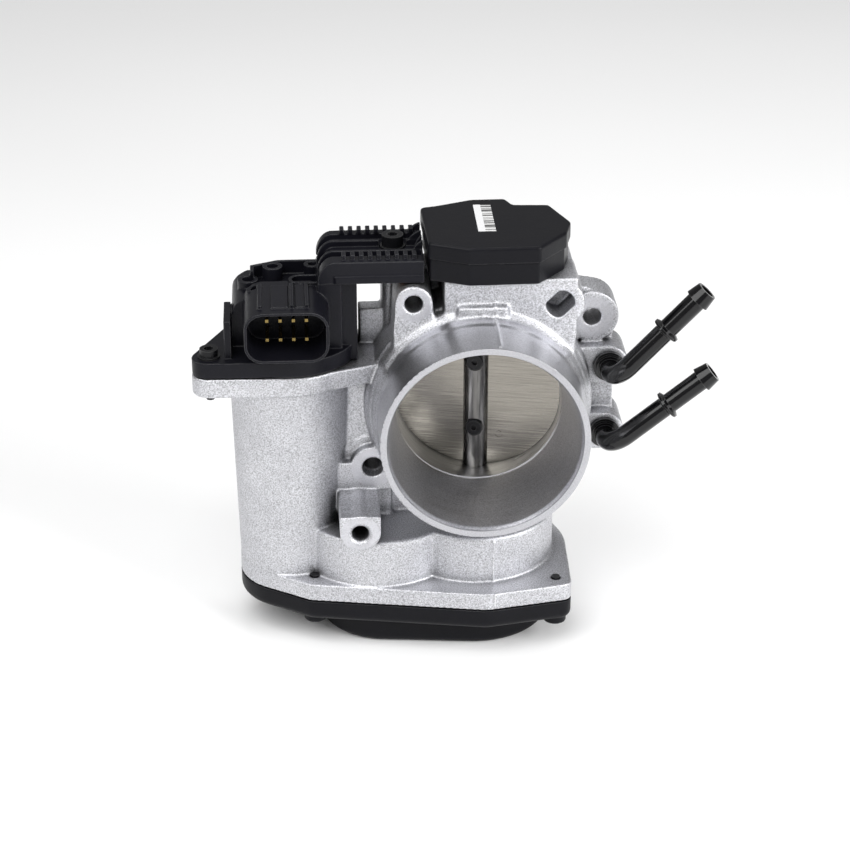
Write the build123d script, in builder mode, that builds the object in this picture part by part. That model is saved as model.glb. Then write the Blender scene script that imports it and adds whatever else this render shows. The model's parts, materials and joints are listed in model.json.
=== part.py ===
"""Electronic throttle body: cast housing, motor, two-stage gear train, sensor and coolant pipes.

Row frame, millimetres. The origin is the bore centre in the manifold joint face.
+Y runs along the bore towards the manifold, +Z along the throttle shaft towards the
position sensor, and +X away from the motor.
"""

import os
from math import acos, cos, pi, radians, sin, tan

from build123d import *

# ---- Driving dimensions ---------------------------------------------------------------

# Air path
BORE_R = 32.5
MOUTH_R = 36.85
MOUTH_Y = -65.3
CONE_END_Y = -30.4
SPIGOT_R = 40.0
COLLAR_R = 42.0
COLLAR_Y = -40.0
CROWN_R, CROWN_Y = 40.6, -37.5
FACE_Y = -35.5

# Manifold joint: four M6 screws on a square that stands at an angle
BOLT_CIRCLE_R = 51.6
BOLT_CENTRE = (2.0, 1.65)
BOLT_FIRST_ANGLE = 122.4
BOLT_HOLE_R = 3.5
LUG_RADII = (7.3, 10.6, 10.8, 12.0)
BOSS_RADII = (7.3, 10.6, 10.8, 8.7)
BOSS_FRONTS = (-35.5, -15.5, -15.5, -32.1)
FLANGE_T = 12.0

# Throttle shaft and plate
SHAFT_Y = -17.5
SHAFT_R = 5.0
SHAFT_BORE_R = 5.5
SHAFT_TOP = 53.0
SHAFT_TAIL_Z = -91.0
SENSOR_END_R = 4.0
SENSOR_END_Z = 64.0
PLATE_R = 32.35
PLATE_T = 1.6
PLATE_TILT = -12.0
PLATE_SCREW_Z = 14.25
RUNNING = 0.04
UPPER_BEARING_Z = (39.0, 51.0)
LOWER_BEARING_Z = (-54.0, -46.0)
BALL_BEARING_R = 13.0

# Gear train: three vertical axes in the plane of the shaft
MODULE = 1.0
PRESSURE_ANGLE = 25.0
PINION_TEETH = 12
WHEEL_TEETH = 56
IDLER_TEETH = 24
SECTOR_TEETH = 54
MOTOR_X = -73.0
IDLER_X = -39.0
WHEEL_Z, WHEEL_T = -75.0, 6.0
SECTOR_Z, SECTOR_T = -88.0, 9.0
BACKLASH = 0.16
ADDENDUM, DEDENDUM = 0.9, 1.25
IDLER_PIN_R = 3.0

# Motor pocket
BARREL_TOP_R = 24.0
BARREL_FOOT_R = 21.8
MOTOR_FLANGE_R = 26.5
MOTOR_FLANGE_Z = (11.3, 19.3)
CAN_R = 18.0
CAN_Z = (-58.0, 6.0)

# Gear case
CASE_JOINT_Z = -77.0
CASE_FLANGE_TOP = -70.0
CASE_ROOF_Z = -50.0
CASE_WALL = 3.0
WHEEL_BULGE_R = 33.0
SECTOR_BULGE_R = 31.7
GASKET_T = 0.8
COVER_SKIRT_Z = -86.5
COVER_FLOOR_Z = -99.5
COVER_WALL = 2.4
COVER_SCREWS = [(30.4, -46.5), (-65.4, -39.5), (-65.4, 4.5), (24.0, 9.5), (-19.0, 11.3)]

# Electrical parts
CONNECTOR_SCREWS = [(-104.0, -36.5), (-92.5, 3.5), (-53.5, 3.5)]
PLATE_BASE_Z = (19.8, 26.0)
SOCKET_X, SOCKET_Z = -74.2, 40.2
SOCKET_W, SOCKET_H = 32.0, 20.5
SOCKET_RIM_Y = -52.5
SENSOR_Z = (54.5, 63.4, 70.0)
BRIDGE_Z = (53.0, 61.7)
BRIDGE_Y = (-32.1, 0.5)

# Coolant pipes
PIPE_R = 4.0
PIPE_BORE_R = 3.0
PIPE_PLANE_Y = -35.0
PIPE_ROOTS = [(52.1, 10.6), (51.2, -18.5)]
PIPE_RISES = (47.3, 39.2)
PIPE_LENGTH = 51.0
PIPE_BEND_R = 9.0
PIPE_SEAT_Y = -11.0
PIPE_BOSS_R = 8.0
PIPE_BOSS_Y = -20.5
PIPE_COLLARS = [(6.2, -22.2, -20.6), (5.2, -23.6, -22.2)]
PIPE_RINGS = [(27.6, 28.4, 4.0, 5.7), (28.4, 29.4, 5.7, 5.7), (29.4, 30.2, 5.7, 4.0),
              (45.6, 48.6, 5.1, 4.6), (48.6, 51.0, 4.6, 4.2)]
GALLERY, GALLERY_R = (51.0, -6.5), 2.2
PLUG_R = 2.9

# Seats, screws and small parts
NEEDLE_CUP_R = 8.0
SEAL_R = 8.0
SEAL_Z = ((-45.5, -42.0), (35.0, 38.5))
COVER_SCREW_R = 1.7
THREAD_GAP = 0.05
PINION_POCKET_R = 8.5
MOTOR_SHAFT_R = 1.6
NOSE_R = 7.0
ARMATURE_R = 12.0
END_PLATE_R = 23.6
END_PLATE_Z = (13.0, 15.5)
MOTOR_SCREWS = [(MOTOR_X, SHAFT_Y - 21.3), (MOTOR_X, SHAFT_Y + 21.3)]
STOP_X, STOP_Z = 17.0, -73.5
SPRING_Z = (-67.5, -56.0)
SPRING_R, SPRING_WIRE_R, SPRING_TURNS = 10.6, 0.7, 6
ACCESSORY_XZ, ACCESSORY_R, ACCESSORY_FACE_Y = (-47.5, -43.1), 3.3, -55.5
BRIDGE_SCREW = (-32.5, -10.5)
BRIDGE_SCREW_Z = (58.8, 64.2)
SENSOR_SCREWS = [(-12.0, -27.0), (23.0, -27.0), (20.0, -8.0)]
PIN_W = 1.2
PINS = [(x, z) for x in (-81.5, -76.5, -71.5, -66.6) for z in (36.1, 43.9)]
HOUSING_TOP, HOUSING_WALL_TOP = 46.0, 51.5
HOUSING_BOSSES = [
    ((-88.6, -14.5), 4.0, 48.5), ((-79.0, -9.8), 3.9, 51.8),
    ((-63.6, -8.6), 3.4, 51.8), ((-85.6, -26.0), 3.6, 49.0),
]
SOCKET_RAILS = [(-84.0, 1.6, 1.4), (-76.6, 6.4, 0.7), (-72.0, 1.2, 1.5), (-68.8, 3.4, 0.7), (-66.4, 1.4, 1.5)]
VALLEYS = [(-25.5, -20.8), (-19.2, -10.8), (-9.2, -3.6)]
COMB_PITCH = 3.35
GUSSETS = [(-2.0, -27.5), (-10.0, -27.5), (-14.6, -24.5), (-20.0, -26.0)]
GUSSET_TOP = 65.4

os.makedirs("parts", exist_ok=True)


def facing_inlet(y):
    """Plane across the bore at the given y, facing the inlet, with x right and z up."""
    return Plane.XZ.offset(-y)


def save(piece, name):
    """Label a finished piece and write its STEP file."""
    piece.part.label = name
    export_step(piece.part, f"parts/{name}.step")


bolt_angles = [BOLT_FIRST_ANGLE - 90 * i for i in range(4)]
MANIFOLD_BOLTS = [
    (BOLT_CENTRE[0] + BOLT_CIRCLE_R * cos(radians(a)), BOLT_CENTRE[1] + BOLT_CIRCLE_R * sin(radians(a)))
    for a in bolt_angles
]

JOINT_PLANE = facing_inlet(0)


def bar(x, y, z, mode=Mode.ADD):
    """Box given by its three ranges, merged into the current part or cut from it."""
    with BuildSketch(Plane.XY.offset(z[0])) as outline:
        with Locations(((x[0] + x[1]) / 2, (y[0] + y[1]) / 2)):
            Rectangle(x[1] - x[0], y[1] - y[0])
    extrude(outline.sketch, amount=z[1] - z[0], mode=mode)


def post(centre, r, z, mode=Mode.ADD):
    """Upright round post or hole between two heights."""
    with BuildSketch(Plane.XY.offset(z[0])) as outline:
        with Locations(centre):
            Circle(r)
    extrude(outline.sketch, amount=z[1] - z[0], mode=mode)


def stub(centre, r, y, mode=Mode.ADD):
    """Round boss or hole along the bore direction, centred on (x, z), between two y values."""
    with BuildSketch(facing_inlet(y[1])) as outline:
        with Locations(centre):
            Circle(r)
    extrude(outline.sketch, amount=y[1] - y[0], mode=mode)


def ring(centre, inner_r, outer_r, z):
    """Upright ring between two heights."""
    with BuildSketch(Plane.XY.offset(z[0])) as outline:
        with Locations(centre):
            Circle(outer_r)
            Circle(inner_r, mode=Mode.SUBTRACT)
    extrude(outline.sketch, amount=z[1] - z[0])


# ---- Shared outlines ------------------------------------------------------------------

SHAFT, IDLER, MOTOR = (0, SHAFT_Y), (IDLER_X, SHAFT_Y), (MOTOR_X, SHAFT_Y)


def case_outline(grow=0.0):
    """Outline of the gear-case joint, as a sketch on the XY plane."""
    rounds = [
        ((3.5, SHAFT_Y), 34.0),
        (IDLER, 33.5),
        (MOTOR, 22.0),
        ((32.0, -48.6), 4.5),
        ((2.0, -46.8), 12.0),
        ((-64.5, -39.6), 8.0),
        ((-65.0, 4.0), 8.0),
        ((24.0, 9.5), 5.0),
    ]
    with BuildSketch() as outline:
        for centre, r in rounds:
            with Locations(centre):
                Circle(r + grow)
        make_hull()
    return outline.sketch


def hull_outline(*rounds):
    """Hull of a few circles, each given as a centre and a radius, on the XY plane."""
    with BuildSketch() as outline:
        for centre, r in rounds:
            with Locations(centre):
                Circle(r)
        make_hull()
    return outline.sketch


def lift(sketch, z):
    """The same flat outline at height z."""
    return Plane.XY.offset(z) * sketch


# ---- Body casting -----------------------------------------------------------------------

with BuildPart() as body_casting:
    # Bore barrel, collar and hose spigot, turned about the bore axis
    with BuildSketch():
        with BuildLine():
            Polyline(
                (0, 0),
                (COLLAR_R + 2.5, 0),
                (COLLAR_R + 2.5, FACE_Y + 5.0),
                (COLLAR_R + 1.5, FACE_Y + 4.0),
                (COLLAR_R + 1.0, FACE_Y),
                (COLLAR_R, FACE_Y - 1.0),
                (COLLAR_R, COLLAR_Y),
                (SPIGOT_R, COLLAR_Y - 5.0),
                (SPIGOT_R, MOUTH_Y + 0.6),
                (SPIGOT_R - 0.6, MOUTH_Y),
                (0, MOUTH_Y),
                close=True,
            )
        make_face()
    revolve(axis=Axis.Y)

    # The collar is left off over the top, between its two ends
    with BuildSketch(facing_inlet(CROWN_Y)):
        Circle(COLLAR_R + 4.0)
        Circle(CROWN_R, mode=Mode.SUBTRACT)
        with BuildLine():
            Polyline((0.0, 0.0), (47.3, 36.9), (47.3, 60.0), (-53.0, 60.0), (-53.0, 28.2), close=True)
        make_face(mode=Mode.INTERSECT)
    extrude(amount=CROWN_Y - COLLAR_Y + 5.0, mode=Mode.SUBTRACT)

    # Manifold flange with its four lugs
    with BuildSketch(JOINT_PLANE):
        for centre, r in zip(MANIFOLD_BOLTS, LUG_RADII):
            with Locations(centre):
                Circle(r)
        make_hull()
    extrude(amount=FLANGE_T)
    for centre, front, r in zip(MANIFOLD_BOLTS, BOSS_FRONTS, BOSS_RADII):
        stub(centre, r, (front, -FLANGE_T))
    stub(MANIFOLD_BOLTS[3], LUG_RADII[3], (-28.0, -FLANGE_T))

    # Web from the upper left lug down to the barrel
    with BuildSketch(facing_inlet(-FLANGE_T)):
        with Locations(MANIFOLD_BOLTS[0]):
            Circle(7.3)
        with Locations((-25.0, 24.0)):
            Circle(9.0)
        make_hull()
    extrude(amount=-FACE_Y - FLANGE_T)

    # Sensor pad above the barrel, with a rounded corner around the service pocket
    with BuildSketch(facing_inlet(-3.0)):
        with Locations((11.5, 38.0)):
            Rectangle(51.0, 33.0)
        with Locations((30.5, 44.0)):
            Circle(9.5)
    extrude(amount=-FACE_Y - 3.0)

    # Raised pad on the collar under the sensor
    bar((-9.0, 10.5), (-38.5, -34.0), (38.0, 44.6))

    # Post for the harness bridge, and the gusset beside it
    post((-32.5, -10.5), 4.6, (20.0, BRIDGE_Z[0]))
    bar((-37.1, -28.0), (-10.5, -2.0), (20.0, BRIDGE_Z[0] - 1.0))
    bar((-46.0, -36.0), (-13.0, -5.0), (15.0, 34.0))

    # Motor barrel, drawn in towards the gear case
    with BuildSketch(Plane.XY.offset(CASE_FLANGE_TOP)):
        with Locations(MOTOR):
            Circle(BARREL_FOOT_R)
    with BuildSketch(Plane.XY.offset(MOTOR_FLANGE_Z[0])):
        with Locations(MOTOR):
            Circle(BARREL_TOP_R)
    loft()

    # Motor flange with its ears, carried across to the barrel
    flange = hull_outline((MOTOR, MOTOR_FLANGE_R), (CONNECTOR_SCREWS[0], 6.8))
    rear = hull_outline((MOTOR, MOTOR_FLANGE_R - 2.0), *[(centre, 6.0) for centre in CONNECTOR_SCREWS[1:]])
    bridge_pad = hull_outline((MOTOR, MOTOR_FLANGE_R - 1.0), ((-42.0, -24.0), 9.0), ((-42.0, -10.0), 9.0))
    for outline in (flange, rear, bridge_pad):
        extrude(lift(outline, MOTOR_FLANGE_Z[0]), amount=MOTOR_FLANGE_Z[1] - MOTOR_FLANGE_Z[0])

    # Web between the motor barrel and the bore barrel
    bar((-56.0, -34.0), (-27.0, -6.0), (CASE_ROOF_Z, MOTOR_FLANGE_Z[0]))
    # Block behind the accessory boss
    with BuildSketch(facing_inlet(-20.0)):
        with Locations((-47.5, -38.5)):
            RectangleRounded(16.0, 25.8, 7.8)
        with Locations((-44.0, -30.0)):
            Rectangle(22.0, 12.0)
    extrude(amount=12.1)
    with BuildSketch(facing_inlet(-32.1)):
        with Locations((-47.5, -39.9)):
            Rectangle(16.0, 8.6)
        with Locations((-47.5, -43.1)):
            Circle(8.0)
    extrude(amount=23.4)

    # Neck between the barrel and the gear case, around the shaft
    bar((-50.0, 26.0), (-24.0, -6.0), (CASE_ROOF_Z - 2.0, -22.0))
    post(SHAFT, 17.0, (CASE_ROOF_Z - 4.0, -34.0))

    # Gear case: joint flange and the two domes over the wheels
    extrude(lift(case_outline(), CASE_JOINT_Z), amount=CASE_FLANGE_TOP - CASE_JOINT_Z)
    post(IDLER, WHEEL_BULGE_R, (CASE_FLANGE_TOP, CASE_ROOF_Z))
    post(SHAFT, SECTOR_BULGE_R, (CASE_FLANGE_TOP, CASE_ROOF_Z))

    # Water jacket and the two pipe bosses on the right side
    bar((36.0, 55.0), (-14.0, -2.0), (-23.0, 15.0))
    for x, z in PIPE_ROOTS:
        stub((x, z), PIPE_BOSS_R, (PIPE_BOSS_Y, -2.0))
        bar((34.0, x), (PIPE_BOSS_Y, -2.0), (z - PIPE_BOSS_R, z + PIPE_BOSS_R))

    # Air passage: cone from the mouth to the throat, then straight to the joint face
    with BuildSketch():
        with BuildLine():
            Polyline(
                (0, 1.0),
                (BORE_R, 1.0),
                (BORE_R, CONE_END_Y),
                (MOUTH_R, MOUTH_Y),
                (MOUTH_R, MOUTH_Y - 1.0),
                (0, MOUTH_Y - 1.0),
                close=True,
            )
        make_face()
    revolve(axis=Axis.Y, mode=Mode.SUBTRACT)

    # Shaft passage with the seats of its seals and bearings
    post(SHAFT, SHAFT_BORE_R, (CASE_ROOF_Z - 6.0, SENSOR_Z[0] + 1.0), mode=Mode.SUBTRACT)
    post(SHAFT, NEEDLE_CUP_R, (SEAL_Z[1][0], SENSOR_Z[0] + 1.0), mode=Mode.SUBTRACT)
    post(SHAFT, BALL_BEARING_R, (CASE_ROOF_Z - 6.0, LOWER_BEARING_Z[1]), mode=Mode.SUBTRACT)
    post(SHAFT, SEAL_R, (LOWER_BEARING_Z[1], SEAL_Z[0][1]), mode=Mode.SUBTRACT)

    # Motor pocket, its stepped mouth, the nose seat and the screw holes of the end plate
    post(MOTOR, CAN_R + 0.8, (CAN_Z[0] - 2.0, MOTOR_FLANGE_Z[1]), mode=Mode.SUBTRACT)
    post(MOTOR, END_PLATE_R + 0.2, (END_PLATE_Z[0], MOTOR_FLANGE_Z[1] + 1.0), mode=Mode.SUBTRACT)
    post(MOTOR, NOSE_R, (CASE_FLANGE_TOP, CAN_Z[0]), mode=Mode.SUBTRACT)
    for centre in MOTOR_SCREWS:
        post(centre, 1.25 + THREAD_GAP, (END_PLATE_Z[0] - 8.0, END_PLATE_Z[0] + 1.0), mode=Mode.SUBTRACT)

    # Gear chamber, open downwards, with a boss for the intermediate pin
    post(IDLER, WHEEL_BULGE_R - CASE_WALL, (CASE_JOINT_Z, CASE_ROOF_Z - CASE_WALL), mode=Mode.SUBTRACT)
    post(SHAFT, SECTOR_BULGE_R - CASE_WALL, (CASE_JOINT_Z, CASE_ROOF_Z - CASE_WALL - 1.0), mode=Mode.SUBTRACT)
    post(MOTOR, PINION_POCKET_R, (CASE_JOINT_Z, CASE_FLANGE_TOP + 3.0), mode=Mode.SUBTRACT)
    post(IDLER, 6.0, (WHEEL_Z + WHEEL_T + 2.0, CASE_ROOF_Z - CASE_WALL))
    post(IDLER, IDLER_PIN_R, (WHEEL_Z + WHEEL_T + 1.0, CASE_ROOF_Z - 1.0), mode=Mode.SUBTRACT)
    for centre in COVER_SCREWS:
        post(centre, COVER_SCREW_R + THREAD_GAP, (CASE_JOINT_Z, CASE_FLANGE_TOP + 0.5), mode=Mode.SUBTRACT)
    stub((STOP_X, STOP_Z), 2.5 + THREAD_GAP, (-4.0, 30.0), mode=Mode.SUBTRACT)

    # Manifold screw holes; the lower left one has a wider mouth
    for centre in MANIFOLD_BOLTS:
        stub(centre, BOLT_HOLE_R, (FACE_Y - 1.0, 1.0), mode=Mode.SUBTRACT)
    stub(MANIFOLD_BOLTS[3], 4.2, (-33.0, -27.0), mode=Mode.SUBTRACT)

    # Tapped accessory hole
    stub(ACCESSORY_XZ, ACCESSORY_R, (ACCESSORY_FACE_Y, ACCESSORY_FACE_Y + 18.0), mode=Mode.SUBTRACT)
    stub(ACCESSORY_XZ, ACCESSORY_R + 1.0, (ACCESSORY_FACE_Y, ACCESSORY_FACE_Y + 0.8), mode=Mode.SUBTRACT)

    # Double-D service pocket
    with BuildSketch(Plane(origin=(30.5, FACE_Y, 44.0), x_dir=(1, 0, 1), z_dir=(0, -1, 0))):
        Circle(5.5)
        Rectangle(12.0, 8.5, mode=Mode.INTERSECT)
    extrude(amount=-12.0, mode=Mode.SUBTRACT)

    # Coolant galleries: two pipe seats joined by an upright drilling closed by a plug
    for x, z in PIPE_ROOTS:
        stub((x, z), PIPE_R, (PIPE_BOSS_Y, PIPE_SEAT_Y), mode=Mode.SUBTRACT)
        stub((x, z), PIPE_BORE_R, (PIPE_SEAT_Y, PIPE_SEAT_Y + 5.0), mode=Mode.SUBTRACT)
    post(GALLERY, GALLERY_R, (-23.0, PIPE_ROOTS[0][1]), mode=Mode.SUBTRACT)
    post(GALLERY, PLUG_R, (-23.0, -20.0), mode=Mode.SUBTRACT)

    # Screw holes of the connector plate, the harness bridge and the sensor base
    for centre in CONNECTOR_SCREWS:
        post(centre, 1.6 + THREAD_GAP, (MOTOR_FLANGE_Z[0] - 1.0, MOTOR_FLANGE_Z[1] + 1.0), mode=Mode.SUBTRACT)
    post(BRIDGE_SCREW, 1.6 + THREAD_GAP, (BRIDGE_Z[0] - 9.0, BRIDGE_Z[0] + 1.0), mode=Mode.SUBTRACT)
    for centre in SENSOR_SCREWS:
        post(centre, 1.4 + THREAD_GAP, (SENSOR_Z[0] - 9.0, SENSOR_Z[0] + 1.0), mode=Mode.SUBTRACT)
save(body_casting, "body_casting")

# ---- Throttle shaft, plate and their fasteners -------------------------------------------

plate_frame = Plane(origin=(0, SHAFT_Y, 0), x_dir=(cos(radians(PLATE_TILT)), sin(radians(PLATE_TILT)), 0),
                    z_dir=(sin(radians(PLATE_TILT)), -cos(radians(PLATE_TILT)), 0))

with BuildPart() as throttle_plate:
    with BuildSketch(facing_inlet(BORE_R)):
        Circle(PLATE_R)
    extrude(amount=2 * BORE_R + MOTOR_FLANGE_R)
    with BuildSketch(plate_frame):
        Rectangle(3 * BORE_R, 3 * BORE_R)
    extrude(amount=PLATE_T / 2, both=True, mode=Mode.INTERSECT)
    with BuildSketch(plate_frame):
        with GridLocations(1.0, 2 * PLATE_SCREW_Z, 1, 2):
            Circle(2.0)
    extrude(amount=PLATE_T, both=True, mode=Mode.SUBTRACT)
    # Locating dimple on the inlet side
    with BuildSketch(plate_frame.offset(PLATE_T / 2)):
        with Locations((9.5, -18.5)):
            Circle(1.6)
            Circle(1.1, mode=Mode.SUBTRACT)
    extrude(amount=-0.2, mode=Mode.SUBTRACT)
save(throttle_plate, "throttle_plate")

with BuildPart() as throttle_shaft:
    post(SHAFT, SHAFT_R, (SHAFT_TAIL_Z, SHAFT_TOP))
    post(SHAFT, SENSOR_END_R, (SHAFT_TOP, SENSOR_END_Z))
    chamfer(throttle_shaft.edges().group_by(Axis.Z)[0], 0.6)
    # Slot for the plate, flats under the screw heads, and the screw holes
    with BuildSketch(plate_frame):
        Rectangle(4 * SHAFT_R, 2 * PLATE_R)
    extrude(amount=PLATE_T / 2, both=True, mode=Mode.SUBTRACT)
    with BuildSketch(plate_frame.offset(SHAFT_R)):
        with GridLocations(1.0, 2 * PLATE_SCREW_Z, 1, 2):
            Circle(3.8)
    extrude(amount=-1.0, mode=Mode.SUBTRACT)
    with BuildSketch(plate_frame.offset(SHAFT_R)):
        with GridLocations(1.0, 2 * PLATE_SCREW_Z, 1, 2):
            Circle(2.0)
    extrude(amount=-2 * SHAFT_R, mode=Mode.SUBTRACT)
    # Groove of the retaining ring
    ring_low = SECTOR_Z - 2.0
    with BuildSketch(Plane.XY.offset(ring_low)):
        with Locations(SHAFT):
            Circle(SHAFT_R + 1.0)
            Circle(SHAFT_R - 0.5, mode=Mode.SUBTRACT)
    extrude(amount=1.0, mode=Mode.SUBTRACT)
save(throttle_shaft, "throttle_shaft")

with BuildPart() as plate_screws:
    # Pan heads on the flats, shanks through the plate into the rear half of the shaft
    with BuildSketch(plate_frame.offset(SHAFT_R - 1.0)):
        with GridLocations(1.0, 2 * PLATE_SCREW_Z, 1, 2):
            Circle(3.4)
    extrude(amount=1.7)
    chamfer(plate_screws.edges().filter_by(GeomType.CIRCLE).sort_by(Axis.Y)[:2], 0.4)
    with BuildSketch(plate_frame.offset(SHAFT_R - 1.0)):
        with GridLocations(1.0, 2 * PLATE_SCREW_Z, 1, 2):
            Circle(2.0)
    extrude(amount=-2 * SHAFT_R + 2.0)
    with BuildSketch(plate_frame.offset(SHAFT_R + 0.7)):
        with GridLocations(1.0, 2 * PLATE_SCREW_Z, 1, 2):
            RegularPolygon(1.3, 6)
    extrude(amount=-1.2, mode=Mode.SUBTRACT)
save(plate_screws, "plate_screws")

with BuildPart() as shaft_retaining_ring:
    ring(SHAFT, SHAFT_R - 0.5, SHAFT_R + 2.4, (ring_low, ring_low + 1.0))
    ring_gap_y = (SHAFT_Y - 1.2, SHAFT_Y + 1.2)
    bar((SHAFT_R - 1.0, SHAFT_R + 4.0), ring_gap_y, (ring_low, ring_low + 1.0), Mode.SUBTRACT)
save(shaft_retaining_ring, "shaft_retaining_ring")

# ---- Shaft bearings and seals --------------------------------------------------------------

with BuildPart() as upper_needle_bearing:
    ring(SHAFT, NEEDLE_CUP_R - 0.9, NEEDLE_CUP_R, UPPER_BEARING_Z)
    needle_r = (NEEDLE_CUP_R - 0.9 - SHAFT_R - 2 * RUNNING) / 2
    with BuildSketch(Plane.XY.offset(UPPER_BEARING_Z[0] + 1.0)):
        with Locations(SHAFT):
            with PolarLocations(SHAFT_R + RUNNING + needle_r, 16):
                Circle(needle_r)
    extrude(amount=UPPER_BEARING_Z[1] - UPPER_BEARING_Z[0] - 2.0)
save(upper_needle_bearing, "upper_needle_bearing")

with BuildPart() as lower_bearing_outer_race:
    ring(SHAFT, BALL_BEARING_R - 2.4, BALL_BEARING_R, LOWER_BEARING_Z)
    chamfer(lower_bearing_outer_race.edges().group_by(Axis.Z)[0], 0.3)
save(lower_bearing_outer_race, "lower_bearing_outer_race")

with BuildPart() as lower_bearing_inner_race:
    ring(SHAFT, SHAFT_R, SHAFT_R + 2.4, LOWER_BEARING_Z)
save(lower_bearing_inner_race, "lower_bearing_inner_race")

with BuildPart() as lower_bearing_balls:
    ball_r = (BALL_BEARING_R - 2.4 - SHAFT_R - 2.4 - 2 * RUNNING) / 2
    with Locations((0, SHAFT_Y, sum(LOWER_BEARING_Z) / 2)):
        with PolarLocations(SHAFT_R + 2.4 + RUNNING + ball_r, 9):
            Sphere(ball_r)
save(lower_bearing_balls, "lower_bearing_balls")

with BuildPart() as shaft_seals:
    for low, high in SEAL_Z:
        ring(SHAFT, SHAFT_R + RUNNING, SEAL_R, (low, high))
save(shaft_seals, "shaft_seals")

# ---- Gear train ------------------------------------------------------------------------------


def involute(angle):
    """Involute function of a pressure angle in radians."""
    return tan(angle) - angle


def tooth(teeth):
    """One involute tooth on the local x axis, rooted a little inside the gear's root circle."""
    pitch_r = MODULE * teeth / 2
    base_r = pitch_r * cos(radians(PRESSURE_ANGLE))
    tip_r = pitch_r + ADDENDUM * MODULE
    root_r = pitch_r - DEDENDUM * MODULE
    start_r = max(base_r, root_r)
    at_pitch = (pi * MODULE / 2 - BACKLASH / 2) / (2 * pitch_r)

    def half_angle(r):
        return at_pitch + involute(radians(PRESSURE_ANGLE)) - involute(acos(min(1.0, base_r / r)))

    def at(r, side, angle=None):
        a = side * (half_angle(r) if angle is None else angle)
        return (r * cos(a), r * sin(a))

    mid_r = (start_r + tip_r) / 2
    foot = half_angle(start_r)
    with BuildSketch() as outline:
        with BuildLine():
            Line(at(0.9 * root_r, -1, foot), at(start_r, -1))
            ThreePointArc(at(start_r, -1), at(mid_r, -1), at(tip_r, -1))
            ThreePointArc(at(tip_r, -1), (tip_r, 0), at(tip_r, 1))
            ThreePointArc(at(tip_r, 1), at(mid_r, 1), at(start_r, 1))
            Line(at(start_r, 1), at(0.9 * root_r, 1, foot))
            Line(at(0.9 * root_r, 1, foot), at(0.9 * root_r, -1, foot))
        make_face()
    return outline.sketch


def gear_outline(teeth, first_angle=0.0):
    """Full spur gear outline with one tooth at the given angle."""
    one = tooth(teeth)
    with BuildSketch() as outline:
        Circle(MODULE * (teeth / 2 - DEDENDUM))
        with PolarLocations(0, teeth, start_angle=first_angle):
            add(one)
    return outline.sketch


def on_axis(sketch, centre, z):
    """The outline moved to a gear axis and height."""
    return Pos(centre[0], centre[1], z) * sketch


wheel_pitch = 360 / WHEEL_TEETH
sector_pitch = 360 / SECTOR_TEETH

with BuildPart() as intermediate_gear:
    extrude(on_axis(gear_outline(WHEEL_TEETH, wheel_pitch / 2), IDLER, WHEEL_Z), amount=WHEEL_T)
    # Web thinned on the upper side between rim and hub
    web_ring = hull_outline(((0, 0), 23.5)) - hull_outline(((0, 0), 10.0))
    ring_sketch = on_axis(web_ring, IDLER, WHEEL_Z + WHEEL_T)
    extrude(ring_sketch, amount=-3.4, mode=Mode.SUBTRACT)
    extrude(on_axis(gear_outline(IDLER_TEETH), IDLER, SECTOR_Z - 0.8), amount=WHEEL_Z - SECTOR_Z + 0.8)
    post(IDLER, IDLER_PIN_R + RUNNING, (SECTOR_Z - 2.0, WHEEL_Z + WHEEL_T + 1.0), mode=Mode.SUBTRACT)
    with Locations((IDLER_X, SHAFT_Y, 0)):
        with PolarLocations(16.8, 6):
            with Locations((0, 0, WHEEL_Z + 1.3)):
                Cylinder(3.4, 6.0, mode=Mode.SUBTRACT)
save(intermediate_gear, "intermediate_gear")

with BuildPart() as intermediate_pin:
    post(IDLER, IDLER_PIN_R, (COVER_FLOOR_Z + COVER_WALL + 1.0, CASE_ROOF_Z - 1.0))
    chamfer(intermediate_pin.edges().group_by(Axis.Z)[0], 0.5)
save(intermediate_pin, "intermediate_pin")

with BuildPart() as motor_pinion:
    extrude(on_axis(gear_outline(PINION_TEETH), MOTOR, WHEEL_Z - 0.5), amount=WHEEL_T + 1.0)
    post(MOTOR, MOTOR_SHAFT_R, (WHEEL_Z - 1.0, WHEEL_Z + WHEEL_T + 1.0), mode=Mode.SUBTRACT)
save(motor_pinion, "motor_pinion")

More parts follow.
